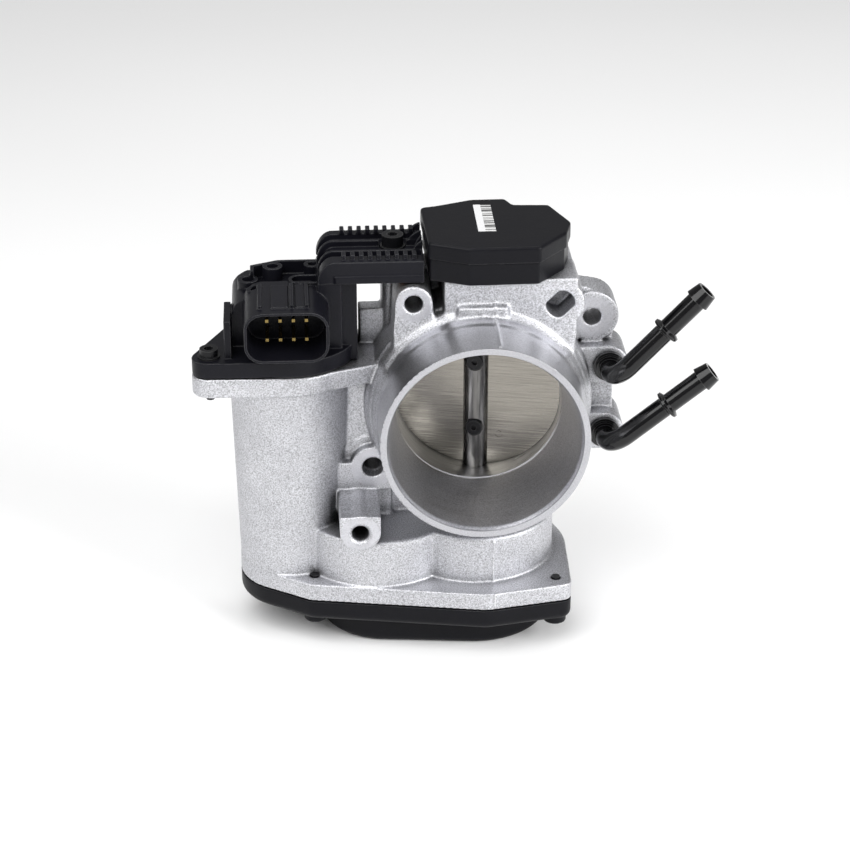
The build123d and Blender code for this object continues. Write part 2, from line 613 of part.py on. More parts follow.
SECTOR_FIRST, SECTOR_COUNT = 180 - 1.5 * sector_pitch, 16
with BuildPart() as sector_gear:
    one_sector_tooth = tooth(SECTOR_TEETH)
    rim_r = MODULE * (SECTOR_TEETH / 2 - DEDENDUM)
    span = (SECTOR_COUNT - 1) * sector_pitch
    with BuildSketch() as rim_outline:
        with BuildLine():
            lead, trail = radians(SECTOR_FIRST - 3.5), radians(SECTOR_FIRST + span + 3.5)
            middle = (lead + trail) / 2
            Line((0, 0), (rim_r * cos(lead), rim_r * sin(lead)))
            ThreePointArc((rim_r * cos(lead), rim_r * sin(lead)), (rim_r * cos(middle), rim_r * sin(middle)),
                          (rim_r * cos(trail), rim_r * sin(trail)))
            Line((rim_r * cos(trail), rim_r * sin(trail)), (0, 0))
        make_face()
        with PolarLocations(0, SECTOR_COUNT, start_angle=SECTOR_FIRST, angular_range=span, endpoint=True):
            add(one_sector_tooth)
        Circle(8.5)
    extrude(on_axis(rim_outline.sketch, SHAFT, SECTOR_Z), amount=SECTOR_T)
    # Pockets either side of the web
    with BuildSketch() as pocket:
        with PolarLocations(16.5, 4, start_angle=middle * 180 / pi - 36, angular_range=72, endpoint=True):
            Circle(4.2)
    for z in (SECTOR_Z, SECTOR_Z + SECTOR_T - 3.0):
        extrude(on_axis(pocket.sketch, SHAFT, z), amount=3.0, mode=Mode.SUBTRACT)
    post(SHAFT, 8.0, (SECTOR_Z - 1.0, SPRING_Z[0] - 0.6))
    # Stop arm
    bar((4.0, STOP_X + 3.5), (SHAFT_Y - 3.0, SHAFT_Y + 4.7), (STOP_Z - 3.0, STOP_Z + 3.0))
    bar((4.0, 12.0), (SHAFT_Y - 3.0, SHAFT_Y + 3.0), (SECTOR_Z, STOP_Z))
    post(SHAFT, SHAFT_R, (SECTOR_Z - 2.0, SPRING_Z[0] + 1.0), mode=Mode.SUBTRACT)
save(sector_gear, "sector_gear")

with BuildPart() as spring_bush:
    ring(SHAFT, SHAFT_R, 8.6, (SPRING_Z[0] - 0.6, SPRING_Z[1] - 0.5))
save(spring_bush, "spring_bush")

with BuildPart() as return_spring:
    coil_pitch = (SPRING_Z[1] - SPRING_Z[0] - 2 * SPRING_WIRE_R) / SPRING_TURNS
    with BuildLine() as coil:
        Helix(coil_pitch, coil_pitch * SPRING_TURNS, SPRING_R,
              center=(0, SHAFT_Y, SPRING_Z[0] + SPRING_WIRE_R))
    with BuildSketch(Plane(origin=coil.line @ 0, z_dir=coil.line % 0)):
        Circle(SPRING_WIRE_R)
    sweep(path=coil.line)
save(return_spring, "return_spring")

with BuildPart() as closed_stop_screw:
    stub((STOP_X, STOP_Z), 2.5, (SHAFT_Y + 5.0, 21.0))
    with BuildSketch(facing_inlet(21.0)):
        with Locations((STOP_X, STOP_Z)):
            RegularPolygon(1.5, 6)
    extrude(amount=3.0, mode=Mode.SUBTRACT)
save(closed_stop_screw, "closed_stop_screw")

# ---- Gear cover ------------------------------------------------------------------------------

wheel_rooms = [(MOTOR, 12.0), (IDLER, WHEEL_BULGE_R - CASE_WALL), (SHAFT, SECTOR_BULGE_R - CASE_WALL)]
dome_rounds = [((-36.0, SHAFT_Y), 27.4), (SHAFT, 31.0)]

with BuildPart() as gear_cover_gasket:
    with BuildSketch(Plane.XY.offset(CASE_JOINT_Z - GASKET_T)):
        add(case_outline(-1.2))
        add(hull_outline(*wheel_rooms), mode=Mode.SUBTRACT)
        for centre in COVER_SCREWS:
            with Locations(centre):
                Circle(COVER_SCREW_R + 0.2, mode=Mode.SUBTRACT)
    extrude(amount=GASKET_T)
save(gear_cover_gasket, "gear_cover_gasket")

cover_top = CASE_JOINT_Z - GASKET_T
with BuildPart() as gear_cover:
    extrude(lift(case_outline(), COVER_SKIRT_Z), amount=cover_top - COVER_SKIRT_Z)
    fillet(gear_cover.edges().group_by(Axis.Z)[0], 3.5)
    extrude(lift(hull_outline(*dome_rounds), COVER_FLOOR_Z), amount=cover_top - 1.0 - COVER_FLOOR_Z)
    fillet(gear_cover.edges().group_by(Axis.Z)[0], 4.0)
    for centre in COVER_SCREWS:
        post(centre, 4.6, (COVER_SKIRT_Z - 3.0, cover_top - 1.0))
    extrude(lift(hull_outline(*wheel_rooms), COVER_SKIRT_Z + COVER_WALL),
            amount=cover_top - COVER_SKIRT_Z - COVER_WALL, mode=Mode.SUBTRACT)
    rooms = [(centre, r - COVER_WALL) for centre, r in dome_rounds]
    extrude(lift(hull_outline(*rooms), COVER_FLOOR_Z + COVER_WALL),
            amount=cover_top - COVER_FLOOR_Z - COVER_WALL, mode=Mode.SUBTRACT)
    post(IDLER, 6.0, (COVER_FLOOR_Z + COVER_WALL, SECTOR_Z - 2.0))
    post(IDLER, IDLER_PIN_R, (COVER_FLOOR_Z + COVER_WALL + 1.0, SECTOR_Z - 1.0), mode=Mode.SUBTRACT)
    for centre in COVER_SCREWS:
        post(centre, COVER_SCREW_R + 0.3, (COVER_SKIRT_Z - 4.0, cover_top), mode=Mode.SUBTRACT)
        post(centre, 3.4, (COVER_SKIRT_Z - 4.0, COVER_SKIRT_Z + 0.5), mode=Mode.SUBTRACT)
save(gear_cover, "gear_cover")

with BuildPart() as gear_cover_screws:
    for centre in COVER_SCREWS:
        post(centre, COVER_SCREW_R, (COVER_SKIRT_Z + 0.5, CASE_FLANGE_TOP + 0.5))
        post(centre, 3.1, (COVER_SKIRT_Z - 2.2, COVER_SKIRT_Z + 0.5))
        with BuildSketch(Plane.XY.offset(COVER_SKIRT_Z - 2.2)):
            with Locations(centre):
                RegularPolygon(1.5, 6)
        extrude(amount=1.6, mode=Mode.SUBTRACT)
save(gear_cover_screws, "gear_cover_screws")

# ---- Motor -------------------------------------------------------------------------------------

with BuildPart() as motor_can:
    post(MOTOR, CAN_R, CAN_Z)
    post(MOTOR, NOSE_R, (CAN_Z[0] - 4.0, CAN_Z[0]))
    fillet(motor_can.edges().filter_by(GeomType.CIRCLE).group_by(Axis.Z)[1], 1.5)
    post(MOTOR, CAN_R - 1.0, (CAN_Z[0] + 1.5, CAN_Z[1]), mode=Mode.SUBTRACT)
    post(MOTOR, MOTOR_SHAFT_R + RUNNING, (CAN_Z[0] - 5.0, CAN_Z[0] + 2.0), mode=Mode.SUBTRACT)
save(motor_can, "motor_can")

with BuildPart() as motor_magnets:
    ring(MOTOR, ARMATURE_R + 0.6, CAN_R - 1.0, (CAN_Z[0] + 8.0, CAN_Z[1] - 10.0))
    bar((MOTOR_X - 3.5, MOTOR_X + 3.5), (SHAFT_Y - CAN_R, SHAFT_Y + CAN_R), CAN_Z, Mode.SUBTRACT)
save(motor_magnets, "motor_magnets")

with BuildPart() as motor_shaft:
    post(MOTOR, MOTOR_SHAFT_R, (WHEEL_Z - 1.0, CAN_Z[1] + 5.0))
    chamfer(motor_shaft.edges(), 0.3)
save(motor_shaft, "motor_shaft")

with BuildPart() as motor_armature:
    with BuildSketch(Plane.XY.offset(CAN_Z[0] + 10.0)):
        with Locations(MOTOR):
            Circle(ARMATURE_R)
            with PolarLocations(ARMATURE_R - 2.6, 7):
                SlotOverall(5.6, 3.4, mode=Mode.SUBTRACT)
            with PolarLocations(ARMATURE_R, 7):
                Rectangle(3.0, 1.2, mode=Mode.SUBTRACT)
            Circle(MOTOR_SHAFT_R, mode=Mode.SUBTRACT)
    extrude(amount=36.0)
save(motor_armature, "motor_armature")

with BuildPart() as motor_commutator:
    with BuildSketch(Plane.XY.offset(CAN_Z[1] - 9.0)):
        with Locations(MOTOR):
            Circle(4.6)
            with PolarLocations(4.6, 7):
                Rectangle(2.0, 0.5, mode=Mode.SUBTRACT)
            Circle(MOTOR_SHAFT_R, mode=Mode.SUBTRACT)
    extrude(amount=6.5)
save(motor_commutator, "motor_commutator")

with BuildPart() as motor_brushes:
    for side in (-1, 1):
        near, far = MOTOR_X + side * 4.7, MOTOR_X + side * 11.0
        brush_z = (CAN_Z[1] - 7.5, CAN_Z[1] - 3.5)
        bar((min(near, far), max(near, far)), (SHAFT_Y - 2.0, SHAFT_Y + 2.0), brush_z)
save(motor_brushes, "motor_brushes")

with BuildPart() as motor_end_plate:
    post(MOTOR, END_PLATE_R, END_PLATE_Z)
    post(MOTOR, CAN_R - 1.0, (CAN_Z[1] - 2.0, END_PLATE_Z[0]))
    post(MOTOR, CAN_R, (CAN_Z[1], END_PLATE_Z[0]))
    post(MOTOR, 7.0, (END_PLATE_Z[1], END_PLATE_Z[1] + 1.5))
    post(MOTOR, MOTOR_SHAFT_R + RUNNING, (CAN_Z[1] - 3.0, CAN_Z[1] + 6.0), mode=Mode.SUBTRACT)
    for centre in MOTOR_SCREWS:
        post(centre, 1.35, (END_PLATE_Z[0] - 1.0, END_PLATE_Z[1] + 1.0), mode=Mode.SUBTRACT)
    for side in (-1, 1):
        bar((MOTOR_X + side * 8.0 - 0.4, MOTOR_X + side * 8.0 + 0.4), (SHAFT_Y - 2.5, SHAFT_Y + 2.5),
            (CAN_Z[1] - 2.0, END_PLATE_Z[1]), Mode.SUBTRACT)
save(motor_end_plate, "motor_end_plate")

with BuildPart() as motor_terminals:
    for side in (-1, 1):
        bar((MOTOR_X + side * 8.0 - 0.4, MOTOR_X + side * 8.0 + 0.4), (SHAFT_Y - 2.5, SHAFT_Y + 2.5),
            (CAN_Z[1] - 2.0, PLATE_BASE_Z[0] + 4.0))
save(motor_terminals, "motor_terminals")

with BuildPart() as motor_screws:
    for centre in MOTOR_SCREWS:
        post(centre, 1.25, (END_PLATE_Z[0] - 7.0, END_PLATE_Z[1]))
        post(centre, 2.4, (END_PLATE_Z[1], END_PLATE_Z[1] + 1.6))
        with BuildSketch(Plane.XY.offset(END_PLATE_Z[1] + 1.6)):
            with Locations(centre):
                RegularPolygon(1.1, 6)
        extrude(amount=-1.0, mode=Mode.SUBTRACT)
save(motor_screws, "motor_screws")

with BuildPart() as motor_wave_washer:
    ring(MOTOR, NOSE_R + 1.5, CAN_R - 3.0, (CAN_Z[0] - 1.0, CAN_Z[0]))
save(motor_wave_washer, "motor_wave_washer")

# ---- Connector housing and harness bridge ------------------------------------------------------

with BuildPart() as connector_seal:
    with BuildSketch(Plane.XY.offset(MOTOR_FLANGE_Z[1])):
        with Locations(MOTOR):
            Circle(END_PLATE_R + 1.9)
            Circle(END_PLATE_R + 0.3, mode=Mode.SUBTRACT)
    extrude(amount=PLATE_BASE_Z[0] - MOTOR_FLANGE_Z[1])
save(connector_seal, "connector_seal")

plate_rounds = [(MOTOR, MOTOR_FLANGE_R - 0.4), (CONNECTOR_SCREWS[0], 6.6)]
plate_rear = [(MOTOR, MOTOR_FLANGE_R - 2.4)] + [(centre, 5.8) for centre in CONNECTOR_SCREWS[1:]]
TOWER_X, TOWER_Y = (-62.0, -47.0), (-32.0, -4.0)
with BuildPart() as connector_housing:
    for rounds in (plate_rounds, plate_rear):
        extrude(lift(hull_outline(*rounds), PLATE_BASE_Z[0]), amount=PLATE_BASE_Z[1] - PLATE_BASE_Z[0])
    # Main box behind the socket, with its left top edge rounded
    with BuildSketch(facing_inlet(0.0)):
        with BuildLine():
            low_corner, high_corner = (-95.0, HOUSING_TOP - 7.0), (-88.0, HOUSING_TOP)
            Polyline(high_corner, (-60.0, HOUSING_TOP), (-60.0, 22.0), (-95.0, 22.0), low_corner)
            RadiusArc(low_corner, high_corner, 7.0)
        make_face()
    extrude(amount=28.0)
    # Thin wall along its rear edge and the long oval well beside the bridge
    with BuildSketch(Plane.XY.offset(HOUSING_TOP - 1.0)):
        with BuildLine() as rear_edge:
            Polyline((-87.0, -14.0), (-87.0, -8.6), (-77.0, -4.2), (-59.0, -4.2))
        trace(rear_edge.line, line_width=1.4)
        with Locations((-64.0, -22.4)):
            SlotOverall(18.0, 8.6)
            SlotOverall(15.4, 6.0, mode=Mode.SUBTRACT)
    extrude(amount=HOUSING_WALL_TOP - HOUSING_TOP + 1.0)
    # Tall box beside the socket, stepped back on its right
    bar((TOWER_X[0], TOWER_X[1] - 6.0), TOWER_Y, (22.0, BRIDGE_Z[0]))
    bar((TOWER_X[1] - 6.0, TOWER_X[1]), (TOWER_Y[0] + 3.0, TOWER_Y[1]), (PLATE_BASE_Z[0], BRIDGE_Z[0]))
    # Socket body
    with BuildSketch(facing_inlet(-22.0)):
        with Locations((SOCKET_X, SOCKET_Z)):
            RectangleRounded(SOCKET_W, SOCKET_H, 7.0)
    extrude(amount=-SOCKET_RIM_Y - 22.0)
    # Ramps and rails on top of the socket
    for x, width, height in SOCKET_RAILS:
        rail_z = (SOCKET_Z + 8.0, SOCKET_Z + SOCKET_H / 2 + height)
        bar((x - width / 2, x + width / 2), (-48.0, -27.0), rail_z)
    bar((-90.0, -88.0), (-44.0, -24.0), (SOCKET_Z - 4.0, SOCKET_Z + 4.0))
    # Fin between the ear and the socket
    bar((-98.0, -95.4), (-39.0, -20.0), (24.0, 41.5))
    # Screw bosses on top
    for centre, r, top in HOUSING_BOSSES:
        post(centre, r, (22.0, top))
        post(centre, r - 1.7, (top - 3.0, top + 1.0), mode=Mode.SUBTRACT)
    # Socket mouth, then the room inside for the terminals
    with BuildSketch(facing_inlet(-33.0)):
        with Locations((SOCKET_X, SOCKET_Z)):
            RectangleRounded(SOCKET_W - 2.4, SOCKET_H - 2.4, 5.8)
    extrude(amount=-SOCKET_RIM_Y - 33.0, mode=Mode.SUBTRACT)
    bar((-92.0, -50.0), (-26.5, -6.0), (PLATE_BASE_Z[0], 40.0), Mode.SUBTRACT)
    for centre in CONNECTOR_SCREWS:
        post(centre, 1.7, (PLATE_BASE_Z[0] - 1.0, 60.0), mode=Mode.SUBTRACT)
        post(centre, 4.6, (PLATE_BASE_Z[1], 60.0), mode=Mode.SUBTRACT)
    for x, z in PINS:
        with BuildSketch(facing_inlet(-23.5)):
            with Locations((x, z)):
                Rectangle(PIN_W, PIN_W)
        extrude(amount=11.0, mode=Mode.SUBTRACT)
save(connector_housing, "connector_housing")

with BuildPart() as connector_pins:
    for x, z in PINS:
        with BuildSketch(facing_inlet(-24.0)):
            with Locations((x, z)):
                Rectangle(PIN_W, PIN_W)
        extrude(amount=20.5)
save(connector_pins, "connector_pins")

with BuildPart() as connector_screws:
    for centre in CONNECTOR_SCREWS:
        post(centre, 1.6, (MOTOR_FLANGE_Z[0] - 3.0, PLATE_BASE_Z[1]))
        post(centre, 4.3, (PLATE_BASE_Z[1], PLATE_BASE_Z[1] + 0.8))
        post(centre, 3.5, (PLATE_BASE_Z[1] + 0.8, PLATE_BASE_Z[1] + 3.6))
        with BuildSketch(Plane.XY.offset(PLATE_BASE_Z[1] + 3.6)):
            with Locations(centre):
                RegularPolygon(2.0, 6)
        extrude(amount=-2.0, mode=Mode.SUBTRACT)
save(connector_screws, "connector_screws")

BRIDGE_END_X = -21.4
ARCH_TOP_X = -55.5
VALLEY_DEPTH = 2.6


def bridge_profile(inset=0.0):
    """Lines of the bridge's top from its right end, over the arch and down to the tall box."""
    top = BRIDGE_Z[1] - inset
    start = (BRIDGE_END_X if inset == 0 else BRIDGE_END_X - 0.6, top)
    Line(start, (ARCH_TOP_X, top))
    EllipticalCenterArc(
        (ARCH_TOP_X, BRIDGE_Z[0]), ARCH_TOP_X - TOWER_X[0] - inset, top - BRIDGE_Z[0], 90, arc_size=90
    )
    return start, (TOWER_X[0] + inset, BRIDGE_Z[0])


with BuildPart() as harness_bridge:
    # Channel with a rounded left end that comes down on the tall box
    with BuildSketch(facing_inlet(BRIDGE_Y[1])):
        with BuildLine():
            start, end = bridge_profile()
            Polyline(end, (BRIDGE_END_X, BRIDGE_Z[0]), start)
        make_face()
    extrude(amount=BRIDGE_Y[1] - BRIDGE_Y[0])
    # Foot of the front wall
    bar((ARCH_TOP_X, BRIDGE_END_X), (BRIDGE_Y[0] - 0.5, BRIDGE_Y[0]), (BRIDGE_Z[0], BRIDGE_Z[0] + 2.9))
    # Room for the leads, open below
    lead_z = (BRIDGE_Z[0], BRIDGE_Z[1] - 5.4)
    bar((-56.0, -19.0), (BRIDGE_Y[0] + 2.0, BRIDGE_Y[1] - 2.0), lead_z, Mode.SUBTRACT)
    # Valleys between the rails, with two long ribs left standing that run on over the arch
    for low, high in VALLEYS:
        with BuildSketch(facing_inlet(high)):
            with BuildLine():
                start, end = bridge_profile(VALLEY_DEPTH)
                outside_x, outside_z = TOWER_X[0] - 1.0, BRIDGE_Z[1] + 1.0
                Polyline(end, (outside_x, BRIDGE_Z[0]), (outside_x, outside_z), (start[0], outside_z), start)
            make_face()
        extrude(amount=high - low, mode=Mode.SUBTRACT)
    # Curved gussets that climb towards the sensor
    for y, foot_x in GUSSETS:
        with BuildSketch(facing_inlet(y + 0.6)):
            with BuildLine():
                corner = (BRIDGE_END_X, BRIDGE_Z[1] - VALLEY_DEPTH - 1.0)
                Polyline((BRIDGE_END_X, GUSSET_TOP), corner, (foot_x, corner[1]), (foot_x, corner[1] + 1.2))
                RadiusArc((foot_x, corner[1] + 1.2), (BRIDGE_END_X, GUSSET_TOP), 9.0)
            make_face()
        extrude(amount=1.2)
    # Comb teeth along the front and rear rails
    with BuildSketch(Plane.XY.offset(BRIDGE_Z[1])):
        with Locations((-38.5, BRIDGE_Y[0] + 4.2), (-38.5, BRIDGE_Y[1] - 2.6)):
            with GridLocations(COMB_PITCH, 1.0, 9, 1):
                Rectangle(1.7, 4.0)
    extrude(amount=2.0)
    # Screw seat
    post(BRIDGE_SCREW, 5.6, (BRIDGE_Z[0], BRIDGE_SCREW_Z[0]))
    post(BRIDGE_SCREW, 5.2, (BRIDGE_SCREW_Z[0], BRIDGE_Z[1] + 1.0), mode=Mode.SUBTRACT)
    post(BRIDGE_SCREW, 1.7, (BRIDGE_Z[0] - 1.0, BRIDGE_Z[1] + 1.0), mode=Mode.SUBTRACT)
save(harness_bridge, "harness_bridge")

with BuildPart() as bridge_screw:
    seat, top = BRIDGE_SCREW_Z
    post(BRIDGE_SCREW, 1.6, (BRIDGE_Z[0] - 8.0, seat))
    post(BRIDGE_SCREW, 4.8, (seat, seat + 0.9))
    post(BRIDGE_SCREW, 4.2, (seat + 0.9, top))
    with BuildSketch(Plane.XY.offset(top)):
        with Locations(BRIDGE_SCREW):
            RegularPolygon(2.2, 6)
    extrude(amount=-2.4, mode=Mode.SUBTRACT)
save(bridge_screw, "bridge_screw")

with BuildPart() as harness_leads:
    for i in range(4):
        y = BRIDGE_Y[0] + 6.0 + 2.4 * i
        bar((-54.0, -23.0), (y, y + 1.2), (BRIDGE_Z[0] + 1.0, BRIDGE_Z[0] + 2.0))
save(harness_leads, "harness_leads")

# ---- Position sensor -----------------------------------------------------------------------------

SENSOR_OUTLINE = [
    (-21.1, 2.1), (-14.7, 3.8), (-1.0, 9.4), (12.8, 9.7), (15.4, 3.2), (29.4, 2.4),
    (36.0, -15.5), (33.2, -26.4), (21.8, -40.5), (-4.9, -40.9), (-20.2, -34.3),
]


def sensor_outline(inset=0.0):
    """Outline of the sensor case, moved inwards by the inset."""
    with BuildSketch() as outline:
        with BuildLine():
            Polyline(*SENSOR_OUTLINE, close=True)
        make_face()
        fillet(outline.vertices(), 1.6)
        if inset:
            offset(amount=-inset)
    return outline.sketch


with BuildPart() as sensor_base:
    extrude(lift(sensor_outline(0.8), SENSOR_Z[0]), amount=SENSOR_Z[1] - SENSOR_Z[0])
    base_floor = SENSOR_Z[0] + 2.2
    extrude(lift(sensor_outline(2.8), base_floor), amount=SENSOR_Z[1] - base_floor, mode=Mode.SUBTRACT)
    post(SHAFT, 8.5, (SENSOR_Z[0], SENSOR_Z[0] + 4.0))
    post(SHAFT, SENSOR_END_R + 0.4, (SENSOR_Z[0] - 1.0, SENSOR_Z[0] + 5.0), mode=Mode.SUBTRACT)
    for centre in SENSOR_SCREWS:
        post(centre, 3.6, (SENSOR_Z[0] + 2.0, SENSOR_Z[0] + 3.4))
        post(centre, 1.5, (SENSOR_Z[0] - 1.0, SENSOR_Z[0] + 4.0), mode=Mode.SUBTRACT)
save(sensor_base, "sensor_base")

with BuildPart() as sensor_cover:
    extrude(lift(sensor_outline(), SENSOR_Z[1]), amount=SENSOR_Z[2] - SENSOR_Z[1])
    chamfer(sensor_cover.edges().group_by(Axis.Z)[-1], 0.7)
    cover_room = SENSOR_Z[2] - SENSOR_Z[1] - 1.8
    extrude(lift(sensor_outline(2.4), SENSOR_Z[1]), amount=cover_room, mode=Mode.SUBTRACT)
save(sensor_cover, "sensor_cover")

with BuildPart() as sensor_magnet_rotor:
    ring(SHAFT, SENSOR_END_R, 11.0, (SENSOR_Z[0] + 4.4, SENSOR_Z[0] + 8.0))
save(sensor_magnet_rotor, "sensor_magnet_rotor")

with BuildPart() as sensor_circuit_board:
    extrude(lift(sensor_outline(3.4), SENSOR_END_Z + 0.6), amount=1.2)
save(sensor_circuit_board, "sensor_circuit_board")

with BuildPart() as sensor_screws:
    for centre in SENSOR_SCREWS:
        post(centre, 1.4, (SENSOR_Z[0] - 8.0, SENSOR_Z[0] + 3.4))
        post(centre, 2.8, (SENSOR_Z[0] + 3.4, SENSOR_Z[0] + 5.4))
save(sensor_screws, "sensor_screws")

with BuildPart() as sensor_label:
    with BuildSketch(Plane.XY.offset(SENSOR_Z[2])):
        with Locations((3.0, -10.6)):
            Rectangle(6.8, 27.0)
    extrude(amount=0.15)
save(sensor_label, "sensor_label")

# ---- Coolant pipes ---------------------------------------------------------------------------------

for (x, z), rise, name in zip(PIPE_ROOTS, PIPE_RISES, ("coolant_pipe_upper", "coolant_pipe_lower")):
    run = (cos(radians(rise)), sin(radians(rise)))
    along = lambda t: (x + run[0] * t, PIPE_PLANE_Y, z + run[1] * t)
    with BuildPart() as coolant_pipe:
        with BuildLine() as route:
            FilletPolyline((x, PIPE_SEAT_Y, z), (x, PIPE_PLANE_Y, z), along(PIPE_LENGTH), radius=PIPE_BEND_R)
        with BuildSketch(Plane(origin=(x, PIPE_SEAT_Y, z), z_dir=(0, -1, 0))):
            Circle(PIPE_R)
        sweep(path=route.line)
        # Collars that stop the tube on its boss
        for r, front, back in PIPE_COLLARS:
            stub((x, z), r, (front, back))
        # Hose bead and flared end
        for start, end, r_start, r_end in PIPE_RINGS:
            with BuildSketch(Plane(origin=along(start), z_dir=(run[0], 0, run[1]))):
                Circle(r_start)
            with BuildSketch(Plane(origin=along(end), z_dir=(run[0], 0, run[1]))):
                Circle(r_end)
            loft()
        with BuildSketch(Plane(origin=(x, PIPE_SEAT_Y, z), z_dir=(0, -1, 0))):
            Circle(PIPE_BORE_R)
        sweep(path=route.line, mode=Mode.SUBTRACT)
    save(coolant_pipe, name)

with BuildPart() as gallery_plug:
    post(GALLERY, PLUG_R, (-23.0, -20.0))
save(gallery_plug, "gallery_plug")
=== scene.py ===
"""Electronic throttle body: materials, cast and moulded skins, floor, light and camera."""

import json
from math import cos, radians, sin

import bmesh
import bpy
import numpy as np
from mathutils import Matrix, Vector

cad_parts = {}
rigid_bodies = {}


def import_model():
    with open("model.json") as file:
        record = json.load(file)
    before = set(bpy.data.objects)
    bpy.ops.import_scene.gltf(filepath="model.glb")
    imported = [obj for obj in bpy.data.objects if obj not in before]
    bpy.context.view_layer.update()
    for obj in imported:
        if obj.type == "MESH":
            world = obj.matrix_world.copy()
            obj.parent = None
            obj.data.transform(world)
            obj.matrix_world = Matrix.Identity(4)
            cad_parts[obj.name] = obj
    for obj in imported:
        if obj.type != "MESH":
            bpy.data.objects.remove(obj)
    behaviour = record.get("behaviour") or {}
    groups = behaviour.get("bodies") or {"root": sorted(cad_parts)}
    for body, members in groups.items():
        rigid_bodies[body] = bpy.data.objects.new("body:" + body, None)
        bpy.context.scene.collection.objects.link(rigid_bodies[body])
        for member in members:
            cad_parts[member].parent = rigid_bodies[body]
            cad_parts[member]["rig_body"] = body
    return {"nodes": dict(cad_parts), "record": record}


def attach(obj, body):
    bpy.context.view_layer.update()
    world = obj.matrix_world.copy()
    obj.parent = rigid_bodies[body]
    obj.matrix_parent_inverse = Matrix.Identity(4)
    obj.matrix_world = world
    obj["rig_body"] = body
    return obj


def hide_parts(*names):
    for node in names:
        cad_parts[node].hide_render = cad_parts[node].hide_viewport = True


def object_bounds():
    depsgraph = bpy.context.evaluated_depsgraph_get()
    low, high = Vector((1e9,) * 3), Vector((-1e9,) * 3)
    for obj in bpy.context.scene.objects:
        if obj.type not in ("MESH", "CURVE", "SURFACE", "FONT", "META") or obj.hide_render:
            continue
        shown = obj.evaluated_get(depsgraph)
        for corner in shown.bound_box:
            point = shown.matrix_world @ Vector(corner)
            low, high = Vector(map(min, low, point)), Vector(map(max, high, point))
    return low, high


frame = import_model()
nodes = frame["nodes"]
slots = {part["node"]: part["material_slot"] for part in frame["record"]["subparts"]}
cad_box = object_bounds()

# ---- Camera ---------------------------------------------------------------------------------

EYE = Vector((-0.07360, -0.86727, 0.41853))
ELEVATION, PAN, ROLL = radians(27.0), radians(-3.6), radians(0.15)
LENS_MM, SENSOR_MM = 101.65, 36.0


def make_camera():
    """The photo's camera: far back, above and a little to the left of the bore."""
    back = Vector((sin(PAN) * cos(ELEVATION), -cos(PAN) * cos(ELEVATION), sin(ELEVATION)))
    level = Vector((cos(PAN), sin(PAN), 0.0))
    rise = back.cross(level)
    right = level * cos(ROLL) + rise * sin(ROLL)
    up = rise * cos(ROLL) - level * sin(ROLL)
    data = bpy.data.cameras.new("camera")
    data.lens = LENS_MM
    data.sensor_width = SENSOR_MM
    camera = bpy.data.objects.new("camera", data)
    turn = Matrix((right, up, back)).transposed()
    camera.matrix_world = Matrix.Translation(EYE) @ turn.to_4x4()
    bpy.context.scene.collection.objects.link(camera)
    bpy.context.scene.camera = camera


# ---- Shader building blocks -----------------------------------------------------------------

def feed(nt, socket, value):
    """Links an output into a socket, or sets the socket to a number or vector."""
    if hasattr(value, "node"):
        nt.links.new(value, socket)
    else:
        socket.default_value = value


def calculate(nt, kind, operation, operands):
    node = nt.nodes.new(kind)
    node.operation = operation
    for socket, value in zip(node.inputs, operands):
        feed(nt, socket, value)
    return node


def maths(nt, operation, *operands):
    """Result of a scalar operation on sockets and numbers."""
    return calculate(nt, "ShaderNodeMath", operation, operands).outputs["Value"]


def vector_maths(nt, operation, result, *operands):
    """Result ("Value" or "Vector") of a vector operation on sockets and vectors."""
    return calculate(nt, "ShaderNodeVectorMath", operation, operands).outputs[result]


def times(nt, first, second):
    return maths(nt, "MULTIPLY", first, second)


def below(nt, value, limit):
    """1 where the value is below the limit, 0 elsewhere."""
    return maths(nt, "LESS_THAN", value, limit)


def above(nt, value, limit):
    """1 where the value is above the limit, 0 elsewhere."""
    return maths(nt, "GREATER_THAN", value, limit)


def noise(nt, scale, detail=2.0, roughness=0.5, stretch=None):
    """A noise texture in object space, in cycles per metre; stretch scales its axes."""
    coords = nt.nodes.new("ShaderNodeTexCoord")
    texture = nt.nodes.new("ShaderNodeTexNoise")
    texture.inputs["Scale"].default_value = scale
    texture.inputs["Detail"].default_value = detail
    texture.inputs["Roughness"].default_value = roughness
    source = coords.outputs["Object"]
    if stretch:
        mapping = nt.nodes.new("ShaderNodeMapping")
        mapping.inputs["Scale"].default_value = stretch
        nt.links.new(source, mapping.inputs["Vector"])
        source = mapping.outputs["Vector"]
    nt.links.new(source, texture.inputs["Vector"])
    return texture.outputs["Fac"]


def ramp(nt, source, stops):
    """Colour ramp over source; stops are (position, grey or rgb)."""
    node = nt.nodes.new("ShaderNodeValToRGB")
    elements = node.color_ramp.elements
    while len(elements) < len(stops):
        elements.new(0.5)
    for element, (position, colour) in zip(elements, stops):
        element.position = position
        rgb = colour if hasattr(colour, "__len__") else (colour,) * 3
        element.color = (*rgb, 1.0)
    nt.links.new(source, node.inputs["Fac"])
    return node.outputs["Color"]


def vary(nt, source, low, high):
    """Goes from low to high over the middle of a noise's range."""
    return ramp(nt, source, [(0.3, low), (0.7, high)])


def blend_colour(nt, share, first, second, mode="MIX"):
    """Mixes two colours, given as sockets or rgb, by a share socket or number."""
    node = nt.nodes.new("ShaderNodeMix")
    node.data_type = "RGBA"
    node.blend_type = mode
    for key, value in (("Factor", share), ("A", first), ("B", second)):
        socket = next(s for s in node.inputs if s.name == key and s.enabled)
        feed(nt, socket, (*value, 1.0) if isinstance(value, tuple) else value)
    return next(s for s in node.outputs if s.enabled)


